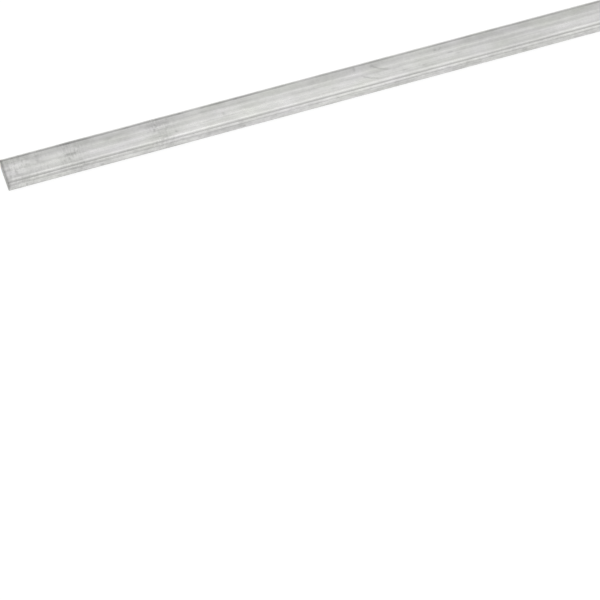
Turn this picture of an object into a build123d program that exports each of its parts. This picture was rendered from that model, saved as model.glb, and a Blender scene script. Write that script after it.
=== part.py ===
"""Flat bus bar: one length of drawn copper bar with rounded long corners, lying on its wide face.

Frame: X along the bar, Y across its wide faces, Z up, origin at the middle of the wide face it lies on.
Millimetres.
"""

import os

from build123d import *

# Section, a stock size of flat bar with rounded corners
bar_width = 12.0
bar_thickness = 5.0
corner_radius = 1.5

# Length as sold, and the burr taken off the rim of each sawn end
bar_length = 1000.0
end_break = 0.3

with BuildPart() as bus_bar:
    # The section stands on Z = 0, so that the bar rests on the floor
    section_plane = Plane.YZ.offset(-bar_length / 2)
    with BuildSketch(section_plane):
        with Locations((0, bar_thickness / 2)):
            RectangleRounded(bar_width, bar_thickness, corner_radius)
    extrude(amount=bar_length)

    # The saw leaves a sharp rim all round each end, which a file breaks
    left_end = bus_bar.faces().sort_by(Axis.X)[0]
    right_end = bus_bar.faces().sort_by(Axis.X)[-1]
    chamfer(left_end.edges() + right_end.edges(), length=end_break)

bus_bar.part.label = "bus_bar"

os.makedirs("parts", exist_ok=True)
export_step(bus_bar.part, "parts/bus_bar.step")
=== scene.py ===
"""The dressed bus bar: one length of drawn, tinned copper flat bar lying on a pale studio table.

Metres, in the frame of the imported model: X along the bar, Y across its wide faces, Z up from the table.
"""

import math

import bpy
import numpy as np
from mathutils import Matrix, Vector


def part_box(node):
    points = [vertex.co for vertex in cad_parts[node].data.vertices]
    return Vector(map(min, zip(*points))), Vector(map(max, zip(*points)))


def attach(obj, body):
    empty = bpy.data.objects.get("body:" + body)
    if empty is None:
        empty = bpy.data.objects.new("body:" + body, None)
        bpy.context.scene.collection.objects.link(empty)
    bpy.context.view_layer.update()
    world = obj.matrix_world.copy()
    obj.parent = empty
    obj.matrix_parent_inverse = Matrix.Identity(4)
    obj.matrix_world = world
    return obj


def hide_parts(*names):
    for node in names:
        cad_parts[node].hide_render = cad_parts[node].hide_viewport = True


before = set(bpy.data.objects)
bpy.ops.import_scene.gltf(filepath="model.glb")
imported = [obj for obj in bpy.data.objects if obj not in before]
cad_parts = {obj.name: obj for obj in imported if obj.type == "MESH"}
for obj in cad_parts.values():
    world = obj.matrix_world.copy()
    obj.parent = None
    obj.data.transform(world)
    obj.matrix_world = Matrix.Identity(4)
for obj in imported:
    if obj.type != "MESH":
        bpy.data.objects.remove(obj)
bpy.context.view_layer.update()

MM = 0.001

# The bar's own sizes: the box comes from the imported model, and the round corner and the broken rim repeat
# its source
low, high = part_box("bus_bar")
length = high.x - low.x
width = high.y - low.y
thickness = high.z - low.z
corner_radius = 1.5 * MM
end_break = 0.3 * MM

# How finely the skin is divided: steps round the section, then rows along the bar and on each end
top_steps = 52
underside_steps = 36
edge_steps = 12
corner_steps = 12
body_rows = 500
break_rows = 5
end_rows = 40

# Grooves that the drawing die leaves along the bar. Each has this share of its depth on the whole, and
# swells and fades by the rest of it over about the given distance
die_grooves = 60
groove_half_width = (0.25 * MM, 0.6 * MM)
groove_depth = (0.001 * MM, 0.006 * MM)
groove_mean = 0.6
groove_fade = 160 * MM

# The skin's unevenness: its depth, and how far apart its humps are along the bar and round it
waviness = (
    (0.0035 * MM, 16 * MM, 3.5 * MM),
    (0.0012 * MM, 8 * MM, 1.6 * MM),
)

# The rim of each end is filed by hand: the share of the break that the filing varies by to each side, and
# how far apart its ups and downs are
rim_filing = 0.2
rim_filing_length = 3 * MM

# Saw marks on the ends: their pitch and depth, how far they bow over the bar's thickness, and how many
# pitches they wander over what distance
saw_pitch = 0.7 * MM
saw_depth = 0.012 * MM
saw_bow = 0.2 * MM
saw_wander = 0.25
saw_wander_length = 4 * MM

# Seeds of the random draws; the grooves' swelling and the waviness count on from theirs
groove_seed = 7
waviness_seed = 11
filing_seed = 21
saw_seed = 31
groove_swell_seed = 100


def linear(hex_colour):
    """An sRGB hex colour as linear red, green, blue and alpha."""
    channels = [int(hex_colour[i : i + 2], 16) / 255 for i in (1, 3, 5)]
    return [c / 12.92 if c <= 0.04045 else ((c + 0.055) / 1.055) ** 2.4 for c in channels] + [1.0]


def add(tree, kind, inputs=None, **settings):
    """Adds a node, sets it up, and gives each named input a value or a link."""
    node = tree.nodes.new(kind)
    for name, value in settings.items():
        setattr(node, name, value)
    for socket, value in (inputs or {}).items():
        if isinstance(value, bpy.types.NodeSocket):
            tree.links.new(value, node.inputs[socket])
        else:
            node.inputs[socket].default_value = value
    return node


def new_material(name):
    """An empty material, and its node tree."""
    material = bpy.data.materials.new(name)
    material.use_nodes = True
    material.node_tree.nodes.clear()
    return material, material.node_tree


def waves(along, across, wave_along, wave_across, seed, count=24):
    """Smooth unevenness from about -1 to 1: a sum of cosines whose wavelengths lie round the two given
    ones, each with its own direction and phase, drawn from a fixed seed."""
    draw = np.random.default_rng(seed)
    total = np.zeros(np.broadcast(along, across).shape)
    for turn_along, turn_across, phase in draw.uniform(-1, 1, (count, 3)):
        turns = along * turn_along / wave_along + across * turn_across / wave_across + phase / 2
        total += np.cos(2 * np.pi * turns)
    return total / math.sqrt(count)


def section():
    """The rounded rectangle of the bar's section, anticlockwise seen from +X: four straight stretches and
    four quarter arcs, as arc centre plus radius times outward direction. Gives each point's place and its
    outward direction in Y and Z, and its distance round the section."""
    flat_across = width / 2 - corner_radius
    flat_up = thickness / 2 - corner_radius
    # Each side: the arc centre where it starts, its outward angle, its length and its steps
    sides = (
        ((flat_across, -flat_up), 0, 2 * flat_up, edge_steps),
        ((flat_across, flat_up), 90, 2 * flat_across, top_steps),
        ((-flat_across, flat_up), 180, 2 * flat_up, edge_steps),
        ((-flat_across, -flat_up), 270, 2 * flat_across, underside_steps),
    )
    places = []
    directions = []
    for centre, angle, run, steps in sides:
        straight_turn = np.full(steps, math.radians(angle))
        arc_turn = np.radians(np.linspace(angle, angle + 90, corner_steps, endpoint=False))
        turn = np.concatenate([straight_turn, arc_turn])
        shift = np.concatenate([np.linspace(0, run, steps, endpoint=False), np.full(corner_steps, run)])
        outward = np.stack([np.cos(turn), np.sin(turn)], axis=1)
        onward = np.array([-math.sin(math.radians(angle)), math.cos(math.radians(angle))])
        places.append(np.array(centre) + corner_radius * outward + shift[:, None] * onward)
        directions.append(outward)
    place = np.concatenate(places) + [0, thickness / 2]
    gaps = np.linalg.norm(np.roll(place, -1, axis=0) - place, axis=1)
    girth = np.concatenate([[0], np.cumsum(gaps)])
    return place, np.concatenate(directions), girth[:-1], girth[-1]


def skin_relief(along, around, whole_girth):
    """How far the skin lies under its true surface: the sum of the die's grooves, each a bell curve round
    the section that fades in and out along the bar, and of the waviness. Never negative, so that the skin
    stays inside the bar's box."""
    draw = np.random.default_rng(groove_seed)
    relief = np.zeros((along.shape[0], around.shape[1]))
    for number in range(die_grooves):
        middle = draw.uniform(0, whole_girth)
        half_breadth = draw.uniform(*groove_half_width)
        depth = draw.uniform(*groove_depth)
        gap = np.abs(around - middle)
        gap = np.minimum(gap, whole_girth - gap)
        swell = waves(along, 0 * around, groove_fade, 1, groove_swell_seed + number, count=6)
        fade = groove_mean + (1 - groove_mean) * swell
        relief += depth * fade.clip(0) * np.exp(-((gap / half_breadth) ** 2))
    for number, (depth, hump_along, hump_around) in enumerate(waviness):
        humps = waves(along, around, hump_along, hump_around, waviness_seed + number)
        relief += depth * (1 + humps)
    return relief.clip(0)


def bar_skin():
    """The whole skin of the bar as one grid, the section carried along X. Rows near each end draw in round
    the broken rim by a quarter circle, and on the sawn end they shrink evenly towards its middle, where a
    fan closes them. The relief moves each point inwards along its outward direction."""
    place, outward, girth, whole_girth = section()
    around = len(place)

    # One row after another: how far along, how far in from the outline, and the share of the section left
    turn = np.linspace(0, np.pi / 2, break_rows, endpoint=False)
    face_scale = np.linspace(0, 1, end_rows + 1)[1:-1]
    end_x = np.concatenate([np.zeros(len(face_scale)), end_break * (1 - np.cos(turn))])
    end_inset = np.concatenate([np.full(len(face_scale), end_break), end_break * (1 - np.sin(turn))])
    end_scale = np.concatenate([face_scale, np.ones(break_rows)])
    body_x = np.linspace(end_break, length - end_break, body_rows + 1)
    row_x = np.concatenate([end_x, body_x, length - end_x[::-1]])
    row_inset = np.concatenate([end_inset, 0 * body_x, end_inset[::-1]])
    row_scale = np.concatenate([end_scale, np.ones(len(body_x)), end_scale[::-1]])
    rows = len(row_x)

    # The rim is filed by hand, so it is broken more in some places than in others
    unevenness = waves(np.zeros(1), girth, 1, rim_filing_length, filing_seed, count=10).clip(-1, 1)
    filing = 1 - rim_filing * (1 + unevenness)
    inset = row_inset[:, None] * filing + skin_relief(row_x[:, None], girth[None, :], whole_girth)
    middle = np.array([0, thickness / 2])
    across = middle + (place - outward * inset[..., None] - middle) * row_scale[:, None, None]
    x = low.x + np.tile(row_x[:, None], (1, around))

    # The saw's marks on each end face: shallow ridges across the thickness, a little bowed
    y, z = across[..., 0], across[..., 1]
    wander = saw_wander * waves(y, z, saw_wander_length, saw_wander_length, saw_seed, count=8)
    ridge = (y + saw_bow * (z / thickness) ** 2) / saw_pitch + wander
    mark = saw_depth * (0.5 + 0.5 * np.sin(2 * np.pi * ridge))
    face_rows = len(face_scale)
    x[:face_rows] += mark[:face_rows]
    x[-face_rows:] -= mark[-face_rows:]

    grid = np.concatenate([x[..., None], across], axis=2).reshape(-1, 3)
    poles = np.array([[low.x + saw_depth / 2, 0, thickness / 2], [high.x - saw_depth / 2, 0, thickness / 2]])
    row, column = np.meshgrid(np.arange(rows - 1), np.arange(around), indexing="ij")
    onward = (column + 1) % around
    corners = [
        row * around + column,
        row * around + onward,
        (row + 1) * around + onward,
        (row + 1) * around + column,
    ]
    quads = np.stack(corners, axis=-1).reshape(-1, 4)
    ring = np.arange(around)
    next_ring = (ring + 1) % around
    last_row = (rows - 1) * around
    left_fan = np.stack([np.full(around, len(grid)), next_ring, ring], axis=1)
    right_fan = np.stack([np.full(around, len(grid) + 1), last_row + ring, last_row + next_ring], axis=1)
    faces = quads.tolist() + left_fan.tolist() + right_fan.tolist()

    # The first material is the skin, the second the sawn ends
    strip_is_end = np.zeros(rows - 1, dtype=np.int32)
    strip_is_end[:face_rows] = 1
    strip_is_end[-face_rows:] = 1
    material_slots = np.concatenate([np.repeat(strip_is_end, around), np.ones(2 * around, dtype=np.int32)])

    mesh = bpy.data.meshes.new("drawn_bar")
    mesh.from_pydata(np.concatenate([grid, poles]), [], faces)
    mesh.polygons.foreach_set("material_index", material_slots)
    mesh.polygons.foreach_set("use_smooth", np.ones(len(material_slots), dtype=bool))
    mesh.update()
    bar = bpy.data.objects.new("drawn_bar", mesh)
    bpy.context.scene.collection.objects.link(bar)
    return bar


# Half the bar in millimetres, the unit of every size and place in the tin's patterns
half_length = length / 2 / MM
half_width = width / 2 / MM

# The tin's shade from the front face to the back face, partly the die's bands and partly painted reflection
# of the face's faint facets: where across the bar, and how pale
bands_and_painted_reflection = (
    (-6.0, 0.91),
    (-5.6, 1.00),
    (-4.2, 1.00),
    (-3.6, 0.96),
    (-2.4, 1.01),
    (-1.3, 1.03),
    (-0.4, 0.89),
    (0.1, 0.95),
    (0.8, 1.02),
    (1.4, 0.95),
    (2.1, 0.85),
    (2.9, 0.83),
    (3.6, 0.86),
    (4.8, 0.95),
    (6.0, 0.95),
)

# Lines along the bar, partly the die's own and partly painted: those along the two long corners carry
# painted shade and painted highlight on the corners' reflections, and the two at the lower front corner are
# painted shade. Where in the section, how wide to each side, and how dark. The one below nought is burnished
# paler than the rest, and brightened with painted highlight.
die_and_painted_lines = (
    # Along the far long corner: a die line deepened with painted shade on the corner's dark reflection
    ((4.45, 5.0), 0.70, 0.36),
    # Along the near long corner: a burnished line brightened with painted highlight on the corner's
    # reflection
    ((-4.5, 5.0), 0.50, -0.10),
    ((-4.98, 4.92), 0.30, 0.07),
    ((-6.0, 3.42), 0.40, 0.20),
    # Painted shade: these two darken the lower front corner and the underside beside it, towards the table
    ((-5.4, 0.6), 1.10, 0.43),
    ((-4.45, 0.0), 0.62, 0.36),
    ((6.0, 1.70), 0.36, 0.22),
)

# These lines, the die's and the painted ones alike, are stronger and weaker in patches of this size along,
# across and up: from the first share to the second as the patches' noise goes between its two levels
line_patch_size = (9, 4, 4)
line_patch_levels = (0.3, 0.7)
line_patch_strength = (0.6, 1.2)

# Stretches that hands and clamps have rubbed: the middle from the left end, and the reach to each side
rubbed_stretches = (
    (4, 17),
    (25, 8),
    (57, 8),
    (262, 20),
    (395, 26),
    (520, 18),
    (655, 34),
    (790, 16),
    (880, 22),
    (985, 34),
)

# Marks all over the tin, each a soft noise: how long along the bar and how broad round it, how many degrees
# its pattern leans in the front face, how finely it breaks up, the noise levels between which it goes from
# clean to darkest, how dark that is, and the share of it that only rubbed stretches show
tin_marks = (
    # Small, middling and broad smudges
    ((2.2, 1.5), 0, 1.0, 0.38, 0.80, 0.09, 0.5),
    ((9.0, 3.2), 0, 2.0, 0.40, 0.75, 0.16, 0.3),
    ((26.0, 9.0), 0, 2.0, 0.38, 0.75, 0.12, 0.0),
    # Drawing lines, broad and fine. The real fine ones are a few hundredths of a millimetre wide, too fine
    # to show, so they are drawn as wide as they need to be
    ((90.0, 0.7), 0, 1.0, 0.35, 0.75, 0.08, 0.0),
    ((45.0, 0.26), 0, 2.0, 0.35, 0.70, 0.07, 0.0),
    # The tin's own grain, drawn coarser than it is for the same reason
    ((0.9, 0.8), 0, 1.0, 0.35, 0.75, 0.09, 0.4),
    # Rubs across the bar, broad and fine; these too stand for many finer ones
    ((1.3, 7.0), 20, 1.0, 0.42, 0.80, 0.07, 0.8),
    ((0.55, 3.0), 20, 1.0, 0.42, 0.60, 0.08, 0.8),
    # Dots and short streaks
    ((1.1, 0.9), 0, 0.0, 0.68, 0.84, 0.15, 0.8),
    ((4.5, 1.3), 0, 1.0, 0.60, 0.80, 0.13, 0.7),
)

# Scuffs on the narrow faces alone, in the same terms: their last share is what no other face shows. And how
# far in from a narrow face they reach
edge_scuffs = (
    ((2.4, 1.6), 25, 1.0, 0.42, 0.80, 0.13, 1.0),
    ((6.0, 3.0), 10, 1.0, 0.42, 0.75, 0.10, 1.0),
)
edge_scuff_reach = 0.9

# Painted shade on the skin beside the sawn ends, where the rolled rim falls into shade: how far it reaches,
# and how dark it is at the end
end_painted_shade_reach = 1.3
end_painted_shade_depth = 0.44

# Stains and dots by themselves, and along the long corners soft strokes of painted shade and painted
# highlight: distance from the left end, then Y and Z in the section, how far each reaches along the bar and
# round it, and how dark it is. Those below nought are paler.
stains_and_painted_strokes = (
    # Broad paler and darker patches of the top face
    ((4.0, 0.8, 5.0), (9.0, 4.8), -0.11),
    ((15.0, 2.4, 5.0), (6.0, 2.4), 0.08),
    ((25.0, 2.8, 5.0), (7.0, 2.4), -0.11),
    ((29.0, -2.0, 5.0), (30.0, 4.0), -0.05),
    ((50.0, 2.6, 5.0), (14.0, 2.4), 0.06),
    ((55.5, 2.6, 5.0), (6.0, 1.6), 0.12),
    ((61.0, 0.6, 5.0), (9.0, 5.4), 0.07),
    ((94.0, 3.0, 5.0), (28.0, 2.6), -0.10),
    ((94.0, -1.6, 5.0), (20.0, 4.0), -0.07),
    ((125.0, -1.0, 5.0), (12.0, 4.0), -0.04),
    ((144.0, -1.5, 5.0), (9.0, 4.4), 0.06),
    ((152.0, 2.6, 5.0), (10.0, 2.6), -0.05),
    ((165.0, 2.2, 5.0), (8.0, 3.4), 0.06),
    ((174.0, -1.0, 5.0), (8.0, 4.0), 0.04),
    ((181.0, 3.0, 5.0), (20.0, 2.2), 0.12),
    ((184.0, -1.0, 5.0), (28.0, 4.5), 0.04),
    ((190.0, -0.4, 5.0), (26.0, 0.5), -0.04),
    ((190.0, -1.6, 5.0), (26.0, 1.2), 0.05),
    # Small ones on the top face
    ((1.9, 0.5, 5.0), (1.1, 6.0), 0.14),
    ((4.2, -1.9, 5.0), (0.7, 2.2), 0.20),
    ((4.3, 2.6, 5.0), (0.5, 1.6), 0.12),
    ((12.6, 2.7, 5.0), (1.1, 1.0), 0.16),
    ((21.4, -2.5, 5.0), (0.7, 1.2), 0.18),
    ((21.9, 0.2, 5.0), (0.4, 3.6), 0.14),
    ((23.2, -0.3, 5.0), (2.1, 0.75), 0.29),
    ((23.2, -2.2, 5.0), (0.6, 1.2), 0.21),
    ((24.7, 0.4, 5.0), (0.4, 3.8), 0.12),
    ((25.6, -0.4, 5.0), (1.6, 0.6), 0.18),
    ((25.9, 0.4, 5.0), (0.4, 3.6), 0.15),
    ((27.0, 0.6, 5.0), (0.4, 3.4), 0.06),
    ((54.9, 0.1, 5.0), (0.8, 1.2), 0.29),
    ((62.2, -2.9, 5.0), (0.9, 0.8), 0.24),
    ((73.6, 2.5, 5.0), (2.2, 1.0), 0.12),
    ((80.4, -0.9, 5.0), (0.9, 1.3), 0.18),
    ((109.2, -0.4, 5.0), (2.0, 0.6), 0.10),
    ((120.8, -2.5, 5.0), (1.6, 1.0), 0.08),
    ((131.0, 3.2, 5.0), (0.8, 1.7), 0.20),
    ((137.6, 2.8, 5.0), (1.2, 0.9), 0.18),
    ((144.8, -1.2, 5.0), (1.4, 0.8), 0.10),
    ((148.3, -2.9, 5.0), (1.8, 0.8), 0.13),
    ((155.4, -3.1, 5.0), (1.8, 0.7), 0.16),
    ((162.0, 2.4, 5.0), (1.2, 0.9), 0.18),
    ((166.6, -0.4, 5.0), (1.7, 0.8), 0.18),
    ((169.6, -1.7, 5.0), (1.8, 0.8), 0.14),
    # Along the far long corner: the long ones are painted shade and painted highlight on its dark reflection
    # line, the short ones dots
    ((15.0, 4.45, 5.0), (38.0, 0.7), 0.10),
    ((24.7, 4.4, 5.0), (1.3, 0.6), 0.18),
    ((27.5, 4.4, 5.0), (3.6, 0.8), -0.12),
    ((46.0, 4.4, 5.0), (3.2, 0.6), 0.24),
    ((57.0, 4.4, 5.0), (1.6, 0.5), 0.20),
    ((65.6, 4.4, 5.0), (1.8, 0.5), 0.22),
    ((74.0, 4.4, 5.0), (1.6, 0.5), 0.18),
    ((86.5, 4.3, 5.0), (1.2, 0.7), 0.22),
    ((108.0, 4.45, 5.0), (24.0, 0.7), -0.12),
    # Along the near long corner: painted highlight and painted shade on the corner's reflection lines
    ((14.0, -4.5, 5.0), (34.0, 0.5), -0.06),
    ((16.0, -5.93, 3.84), (44.0, 0.42), 0.12),
    ((22.0, -5.7, 4.39), (38.0, 0.3), -0.10),
    ((72.0, -5.7, 4.39), (36.0, 0.4), 0.08),
    ((112.0, -4.5, 5.0), (34.0, 0.5), 0.05),
    ((192.0, -4.5, 5.0), (30.0, 0.5), 0.12),
    # On the front face
    # Painted light: a paler spot that lifts the painted end shade on the lower front face
    ((0.2, -5.9, 1.2), (1.4, 1.6), -0.40),
    ((10.0, -6.0, 2.6), (16.0, 2.6), -0.16),
    ((18.4, -6.0, 1.9), (1.1, 0.8), 0.20),
    ((33.9, -6.0, 1.8), (1.2, 0.8), 0.30),
    ((36.0, -6.0, 2.6), (3.0, 1.2), 0.10),
    ((45.0, -6.0, 2.6), (8.0, 2.6), -0.18),
    ((73.0, -6.0, 2.4), (3.6, 1.6), 0.10),
    ((78.0, -6.0, 2.5), (22.0, 2.4), 0.14),
    ((85.6, -6.0, 2.6), (4.2, 1.6), 0.12),
    ((86.3, -6.0, 1.8), (1.1, 0.8), 0.24),
    ((100.0, -6.0, 2.5), (16.0, 2.4), 0.05),
    ((116.0, -6.0, 2.6), (8.0, 2.6), -0.06),
    ((145.0, -6.0, 2.6), (9.0, 2.6), 0.10),
    ((166.4, -6.0, 2.8), (2.0, 1.2), 0.12),
    ((170.0, -6.0, 2.5), (24.0, 2.4), 0.08),
    ((171.2, -6.0, 2.6), (2.0, 1.3), 0.11),
    ((193.8, -6.0, 2.4), (1.6, 1.4), 0.14),
)

# Scratches on the top face: where each starts, passes and ends, from the left end and across, then its half
# width and how dark it is. Each fades out between these shares of half its length from its middle.
scratches = (
    ((137.6, 2.7), (139.8, 0.8), (143.0, -0.7), 0.75, 0.17),
    ((132.4, -0.5), (134.9, -2.2), (138.4, -3.5), 0.60, 0.19),
    ((162.7, 1.9), (163.7, 2.3), (164.2, 3.1), 0.40, 0.14),
)
scratch_fading = (0.7, 1.1)

# How far the edges of bands and stains wander along, across and up, over what distance, and the noise that
# leaves them where they are
ragged_by = (1.8, 0.6, 0.6)
ragged_length = 2.0
noise_middle = (0.5, 0.5, 0.5)

# The tin's two colours, the patches that they wander over, in size along, across and up, and the levels of
# the patches' noise at which each colour is full
bluish_tin = "#eeeded"
yellowish_tin = "#ebece7"
tint_patch = (13, 5, 5)
tint_levels = (0.25, 0.75)

# How rough clean tin is, how rough dull tin is, and the shade of tin that is as dull as that
clean_roughness = 0.24
dull_roughness = 0.38
dull_shade = 0.6

# How deep a mark lies that takes the whole of the shade away
mark_depth = 0.05 * MM

# The sawn end: its two shades, how rough it is, the size of its marks along, across and up, and their depth
sawn_dark = "#868684"
sawn_pale = "#b8b8b4"
sawn_roughness = 0.5
sawn_mark = (1 * MM, 0.25 * MM, 6 * MM)
sawn_mark_depth = 0.03 * MM


def darker(tree, shade, taken):
    """The shade with a share of it taken away."""
    left = add(tree, "ShaderNodeMath", {0: 1.0, 1: taken}, operation="SUBTRACT").outputs[0]
    return add(tree, "ShaderNodeMath", {0: shade, 1: left}, operation="MULTIPLY").outputs[0]


def fading(tree, gap, reach, strongest, inner=0.0):
    """A smooth step down from the strongest value, within the inner distance, to nothing at the reach."""
    step = add(
        tree,
        "ShaderNodeMapRange",
        {"Value": gap, "From Min": inner, "From Max": reach, "To Min": strongest, "To Max": 0.0},
        interpolation_type="SMOOTHSTEP",
    )
    return step.outputs[0]


def die_bands_and_painted_reflection(tree, ragged):
    """The shade of the bands along the bar, partly the die's and partly painted reflection: a ramp across
    it.
    """
    across = add(tree, "ShaderNodeSeparateXYZ", {0: ragged}).outputs["Y"]
    share = add(
        tree,
        "ShaderNodeMapRange",
        {"Value": across, "From Min": -half_width, "From Max": half_width},
    )
    bands = add(tree, "ShaderNodeValToRGB", {"Fac": share.outputs[0]})
    while len(bands.color_ramp.elements) < len(bands_and_painted_reflection):
        bands.color_ramp.elements.new(1.0)
    for element, (at, pale) in zip(bands.color_ramp.elements, bands_and_painted_reflection):
        element.position = (at + half_width) / (2 * half_width)
        element.color = [pale, pale, pale, 1.0]
    return add(tree, "ShaderNodeSeparateColor", {0: bands.outputs["Color"]}).outputs["Red"]


def with_die_and_painted_lines(tree, shade, clean):
    """The shade with the lines along the bar, the die's dull lines and the painted shade and highlight, each
    darkest at its place in the section and stronger and weaker along the bar."""
    in_section = add(tree, "ShaderNodeVectorMath", {0: clean, 1: (0, 1, 1)}, operation="MULTIPLY").outputs[0]
    spot = add(tree, "ShaderNodeMapping", {"Vector": clean, "Scale": line_patch_size}, vector_type="TEXTURE")
    noise = add(tree, "ShaderNodeTexNoise", {"Vector": spot.outputs[0], "Scale": 1.0, "Detail": 3.0})
    strength = add(
        tree,
        "ShaderNodeMapRange",
        {
            "Value": noise.outputs["Fac"],
            "From Min": line_patch_levels[0],
            "From Max": line_patch_levels[1],
            "To Min": line_patch_strength[0],
            "To Max": line_patch_strength[1],
        },
    )
    for (at_y, at_z), half_breadth, dark in die_and_painted_lines:
        gap = add(tree, "ShaderNodeVectorMath", {0: in_section, 1: (0, at_y, at_z)}, operation="DISTANCE")
        line = fading(tree, gap.outputs["Value"], half_breadth, dark)
        taken = add(tree, "ShaderNodeMath", {0: line, 1: strength.outputs[0]}, operation="MULTIPLY")
        shade = darker(tree, shade, taken.outputs[0])
    return shade


def rubbed(tree, ragged):
    """How rubbed the bar is along its length: from 0 to 1, the highest of a smooth hump at each stretch."""
    along = add(tree, "ShaderNodeSeparateXYZ", {0: ragged}).outputs["X"]
    most = None
    for middle, reach in rubbed_stretches:
        off = add(tree, "ShaderNodeMath", {0: along, 1: middle - half_length}, operation="SUBTRACT")
        gap = add(tree, "ShaderNodeMath", {0: off.outputs[0]}, operation="ABSOLUTE")
        hump = fading(tree, gap.outputs[0], reach, 1.0)
        if most is None:
            most = hump
        else:
            most = add(tree, "ShaderNodeMath", {0: most, 1: hump}, operation="MAXIMUM").outputs[0]
    return most


def on_narrow_faces(tree, clean):
    """1 on the two narrow faces, going down to nothing where the wide faces begin."""
    across = add(tree, "ShaderNodeSeparateXYZ", {0: clean}).outputs["Y"]
    from_middle = add(tree, "ShaderNodeMath", {0: across}, operation="ABSOLUTE").outputs[0]
    inwards = add(tree, "ShaderNodeMath", {0: half_width, 1: from_middle}, operation="SUBTRACT").outputs[0]
    return fading(tree, inwards, edge_scuff_reach, 1.0)


def with_marks(tree, shade, clean, marks, here):
    """The shade with the kinds of mark in a table, each kind a noise stretched to its size. The share in
    the table's last column shows in full where "here" is 1, and not at all where it is 0."""
    for (mark_length, mark_breadth), lean, detail, faint, full, dark, only_here in marks:
        spot = add(
            tree,
            "ShaderNodeMapping",
            {
                "Vector": clean,
                "Rotation": (0, math.radians(lean), 0),
                "Scale": (mark_length, mark_breadth, mark_breadth),
            },
            vector_type="TEXTURE",
        )
        noise = add(tree, "ShaderNodeTexNoise", {"Vector": spot.outputs[0], "Scale": 1.0, "Detail": detail})
        mark = add(
            tree,
            "ShaderNodeMapRange",
            {"Value": noise.outputs["Fac"], "From Min": faint, "From Max": full, "To Max": dark},
        ).outputs[0]
        strength = add(tree, "ShaderNodeMapRange", {"Value": here, "To Min": 1.0 - only_here}).outputs[0]
        taken = add(tree, "ShaderNodeMath", {0: mark, 1: strength}, operation="MULTIPLY")
        shade = darker(tree, shade, taken.outputs[0])
    return shade


def with_stains_and_painted_strokes(tree, shade, ragged):
    """The shade with each stain, and each painted stroke along the long corners, darkest at its middle and
    gone
    at its reach along the bar and round it: the distance from its middle is counted in those reaches."""
    for (from_left, at_y, at_z), (reach_along, reach_round), dark in stains_and_painted_strokes:
        per_reach = (1 / reach_along, 1 / reach_round, 1 / reach_round)
        middle = ((from_left - half_length) / reach_along, at_y / reach_round, at_z / reach_round)
        spot = add(tree, "ShaderNodeVectorMath", {0: ragged, 1: per_reach}, operation="MULTIPLY").outputs[0]
        gap = add(tree, "ShaderNodeVectorMath", {0: spot, 1: middle}, operation="DISTANCE").outputs["Value"]
        shade = darker(tree, shade, fading(tree, gap, 1.0, dark))
    return shade


def circle_through(first, second, third):
    """The centre and radius of the circle through three points: the centre is as far from each of them, so
    its dot product with each chord is half the difference of the ends' squared distances."""
    points = np.array([first, second, third])
    chords = points[1:] - points[0]
    squares = (points**2).sum(axis=1)
    centre = np.linalg.solve(chords, (squares[1:] - squares[0]) / 2)
    return centre, float(np.linalg.norm(points[0] - centre))


def with_scratches(tree, shade, clean, ragged):
    """The shade with each scratch: dark where the distance from its circle's centre is nearly the circle's
    radius, and only within its length's reach of its middle."""
    top = thickness / MM
    steady, gone = scratch_fading
    for start, bend, finish, half_breadth, dark in scratches:
        centre, radius = circle_through(start, bend, finish)
        centre_place = (centre[0] - half_length, centre[1], top)
        middle_place = ((start[0] + finish[0]) / 2 - half_length, (start[1] + finish[1]) / 2, top)
        reach = math.dist(start, finish) / 2
        from_centre = add(tree, "ShaderNodeVectorMath", {0: clean, 1: centre_place}, operation="DISTANCE")
        off = add(tree, "ShaderNodeMath", {0: from_centre.outputs["Value"], 1: radius}, operation="SUBTRACT")
        gap = add(tree, "ShaderNodeMath", {0: off.outputs[0]}, operation="ABSOLUTE")
        line = fading(tree, gap.outputs[0], half_breadth, dark)
        from_middle = add(tree, "ShaderNodeVectorMath", {0: ragged, 1: middle_place}, operation="DISTANCE")
        strength = fading(tree, from_middle.outputs["Value"], gone * reach, 1.0, steady * reach)
        taken = add(tree, "ShaderNodeMath", {0: line, 1: strength}, operation="MULTIPLY")
        shade = darker(tree, shade, taken.outputs[0])
    return shade


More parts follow.
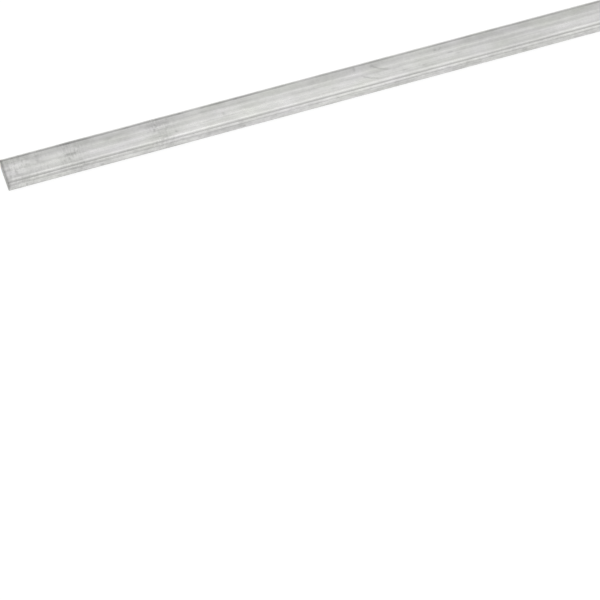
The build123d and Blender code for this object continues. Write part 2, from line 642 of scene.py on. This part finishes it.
def tinned_copper():
    """Electro-tinned copper, drawn through a die, stacked and handled since. The tin gives a pale, soft
    mirror, a little yellow. The die leaves bands and lines along it, and handling leaves smudges, dull
    spots and a few scratches. Some of the bands and lines are painted reflection and painted highlight,
    and the lower front corner and the skin beside the ends carry painted shade."""
    material, tree = new_material("tinned_drawn_copper")
    place = add(tree, "ShaderNodeTexCoord").outputs["Object"]
    clean = add(tree, "ShaderNodeVectorMath", {0: place, "Scale": 1 / MM}, operation="SCALE").outputs[0]

    # Ragged places: every band and stain reads these, so that its edge wanders a little
    noise = add(tree, "ShaderNodeTexNoise", {"Vector": clean, "Scale": 1 / ragged_length, "Detail": 2.0})
    wander = add(
        tree,
        "ShaderNodeVectorMath",
        {0: noise.outputs["Color"], 1: noise_middle},
        operation="SUBTRACT",
    )
    shift = add(tree, "ShaderNodeVectorMath", {0: wander.outputs[0], 1: ragged_by}, operation="MULTIPLY")
    ragged = add(tree, "ShaderNodeVectorMath", {0: clean, 1: shift.outputs[0]}, operation="ADD").outputs[0]

    shade = die_bands_and_painted_reflection(tree, ragged)
    shade = with_die_and_painted_lines(tree, shade, clean)
    shade = with_marks(tree, shade, clean, tin_marks, rubbed(tree, ragged))
    shade = with_marks(tree, shade, clean, edge_scuffs, on_narrow_faces(tree, clean))

    # These lie a little deeper than clean tin, while what follows only colours it
    bump = add(tree, "ShaderNodeBump", {"Height": shade, "Strength": 1.0, "Distance": mark_depth})

    # Painted shade on the skin beside the sawn ends, where the rolled rim falls into shade
    along = add(tree, "ShaderNodeSeparateXYZ", {0: clean}).outputs["X"]
    from_middle = add(tree, "ShaderNodeMath", {0: along}, operation="ABSOLUTE").outputs[0]
    from_end = add(tree, "ShaderNodeMath", {0: half_length, 1: from_middle}, operation="SUBTRACT")
    shade = darker(tree, shade, fading(tree, from_end.outputs[0], end_painted_shade_reach, end_painted_shade_depth))

    shade = with_stains_and_painted_strokes(tree, shade, ragged)
    shade = with_scratches(tree, shade, clean, ragged)

    # The tin's colour wanders between a bluish and a yellowish grey over a centimetre or two
    spot = add(tree, "ShaderNodeMapping", {"Vector": clean, "Scale": tint_patch}, vector_type="TEXTURE")
    tint = add(tree, "ShaderNodeTexNoise", {"Vector": spot.outputs[0], "Scale": 1.0, "Detail": 1.0})
    warmth = add(
        tree,
        "ShaderNodeMapRange",
        {"Value": tint.outputs["Fac"], "From Min": tint_levels[0], "From Max": tint_levels[1]},
    )
    colour = add(
        tree,
        "ShaderNodeMix",
        {"Factor": warmth.outputs[0], "A": linear(bluish_tin), "B": linear(yellowish_tin)},
        data_type="RGBA",
    )
    shaded = add(
        tree,
        "ShaderNodeMix",
        {"Factor": 1.0, "A": colour.outputs["Result"], "B": shade},
        data_type="RGBA",
        blend_type="MULTIPLY",
    )

    # Everything dull is rougher than clean tin
    roughness = add(
        tree,
        "ShaderNodeMapRange",
        {
            "Value": shade,
            "From Min": dull_shade,
            "From Max": 1.0,
            "To Min": dull_roughness,
            "To Max": clean_roughness,
        },
    )
    shader = add(
        tree,
        "ShaderNodeBsdfPrincipled",
        {
            "Base Color": shaded.outputs["Result"],
            "Metallic": 1.0,
            "Roughness": roughness.outputs[0],
            "Normal": bump.outputs[0],
        },
    )
    add(tree, "ShaderNodeOutputMaterial", {"Surface": shader.outputs[0]})
    return material


def sawn_end():
    """The bar's end, sawn and then tinned with the rest: duller than the skin, with fine marks across it."""
    material, tree = new_material("tinned_sawn_end")
    place = add(tree, "ShaderNodeTexCoord").outputs["Object"]
    spot = add(tree, "ShaderNodeMapping", {"Vector": place, "Scale": sawn_mark}, vector_type="TEXTURE")
    marks = add(tree, "ShaderNodeTexNoise", {"Vector": spot.outputs[0], "Scale": 1.0, "Detail": 3.0})
    colour = add(
        tree,
        "ShaderNodeMix",
        {"Factor": marks.outputs["Fac"], "A": linear(sawn_dark), "B": linear(sawn_pale)},
        data_type="RGBA",
    )
    relief = {"Height": marks.outputs["Fac"], "Strength": 1.0, "Distance": sawn_mark_depth}
    bump = add(tree, "ShaderNodeBump", relief)
    shader = add(
        tree,
        "ShaderNodeBsdfPrincipled",
        {
            "Base Color": colour.outputs["Result"],
            "Metallic": 1.0,
            "Roughness": sawn_roughness,
            "Normal": bump.outputs[0],
        },
    )
    add(tree, "ShaderNodeOutputMaterial", {"Surface": shader.outputs[0]})
    return material


bar = bar_skin()
bar.data.materials.append(tinned_copper())
bar.data.materials.append(sawn_end())
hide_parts("bus_bar")
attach(bar, "root")


# The table: half its width, its own shade and roughness, and the light that comes through it from below
table_half_width = 20.0
table_shade = "#808080"
table_roughness = 0.9
table_glow = 0.87


def studio_table():
    """A wide flat table of opal acrylic, lit softly from below, so that the bar lies in almost no shadow."""
    half = table_half_width
    corners = [(-half, -half, 0), (half, -half, 0), (half, half, 0), (-half, half, 0)]
    mesh = bpy.data.meshes.new("floor")
    mesh.from_pydata(corners, [], [(0, 1, 2, 3)])
    floor = bpy.data.objects.new("floor", mesh)
    bpy.context.scene.collection.objects.link(floor)
    material, tree = new_material("opal_acrylic_table")
    shader = add(
        tree,
        "ShaderNodeBsdfPrincipled",
        {
            "Base Color": linear(table_shade),
            "Roughness": table_roughness,
            "Specular IOR Level": 0.0,
            "Emission Color": linear("#ffffff"),
            "Emission Strength": table_glow,
        },
    )
    add(tree, "ShaderNodeOutputMaterial", {"Surface": shader.outputs[0]})
    mesh.materials.append(material)


studio_table()

# Brightness of the studio round the bar by the angle over it, from the front horizon (0) over the top (90)
# to the back horizon (180)
studio_steps = (
    (0, 1.25),
    (19, 1.25),
    (38, 0.66),
    (61, 0.67),
    (78, 0.95),
    (93, 1.20),
    (109, 1.20),
    (121, 1.00),
    (136, 0.95),
    (143, 0.66),
    (150, 0.72),
    (158, 1.15),
    (180, 1.15),
)

# The lamps are brightest a little to the right of the bar's middle: where along, how far they reach and how
# much of their light is lost beyond
lamp_middle = 0.19
lamp_reach = 0.24
lamp_loss = 0.10

# What the camera sees of the studio past the table
backdrop = "#f2f2f2"


def studio_world():
    """Long soft lamps parallel to the bar: brightness is a ramp over the angle round the X axis."""
    world = bpy.data.worlds.new("studio")
    bpy.context.scene.world = world
    world.use_nodes = True
    tree = world.node_tree
    tree.nodes.clear()
    direction = add(tree, "ShaderNodeTexCoord").outputs["Generated"]
    axes = add(tree, "ShaderNodeSeparateXYZ", {0: direction})
    front = add(tree, "ShaderNodeMath", {0: axes.outputs["Y"], 1: -1.0}, operation="MULTIPLY")
    angle = add(tree, "ShaderNodeMath", {0: axes.outputs["Z"], 1: front.outputs[0]}, operation="ARCTAN2")
    share = add(tree, "ShaderNodeMath", {0: angle.outputs[0], 1: 1 / math.pi}, operation="MULTIPLY")
    ramp = add(tree, "ShaderNodeValToRGB", {"Fac": share.outputs[0]})
    ramp.color_ramp.interpolation = "EASE"
    brightest = max(level for _, level in studio_steps)
    while len(ramp.color_ramp.elements) < len(studio_steps):
        ramp.color_ramp.elements.new(1.0)
    for element, (degrees, level) in zip(ramp.color_ramp.elements, studio_steps):
        element.position = degrees / 180
        element.color = [level / brightest] * 3 + [1.0]
    off = add(tree, "ShaderNodeMath", {0: axes.outputs["X"], 1: lamp_middle}, operation="SUBTRACT")
    gap = add(tree, "ShaderNodeMath", {0: off.outputs[0]}, operation="ABSOLUTE")
    lost = add(
        tree,
        "ShaderNodeMapRange",
        {"Value": gap.outputs[0], "From Max": lamp_reach, "To Max": lamp_loss},
        interpolation_type="SMOOTHSTEP",
    )
    lamps = darker(tree, ramp.outputs["Color"], lost.outputs[0])
    rays = add(tree, "ShaderNodeLightPath")
    seen = add(
        tree,
        "ShaderNodeMix",
        {"Factor": rays.outputs["Is Camera Ray"], "A": lamps, "B": linear(backdrop)},
        data_type="RGBA",
    )
    strength = add(tree, "ShaderNodeBackground", {"Color": seen.outputs["Result"], "Strength": brightest})
    add(tree, "ShaderNodeOutputWorld", {"Surface": strength.outputs[0]})


studio_world()

# The camera stands before the bar's left end, turned a little to the right and looking well down
camera_from_left_end = (-63.6 * MM, -491.1 * MM, 610.0 * MM)
camera_heading = math.radians(19.395)
camera_dip = math.radians(54.637)

# Its lens and its picture's width in millimetres, as a camera's maker counts them, and the nearest it sees
camera_lens = 133.6
camera_picture = 36.0
camera_nearest = 10 * MM

camera_data = bpy.data.cameras.new("camera")
camera_data.lens = camera_lens
camera_data.sensor_width = camera_picture
camera_data.clip_start = camera_nearest
camera = bpy.data.objects.new("camera", camera_data)
camera.location = (low.x + camera_from_left_end[0], camera_from_left_end[1], camera_from_left_end[2])
camera.rotation_euler = (math.pi / 2 - camera_dip, 0, -camera_heading)
bpy.context.scene.collection.objects.link(camera)
bpy.context.scene.camera = camera
bpy.context.scene.view_settings.view_transform = "Standard"
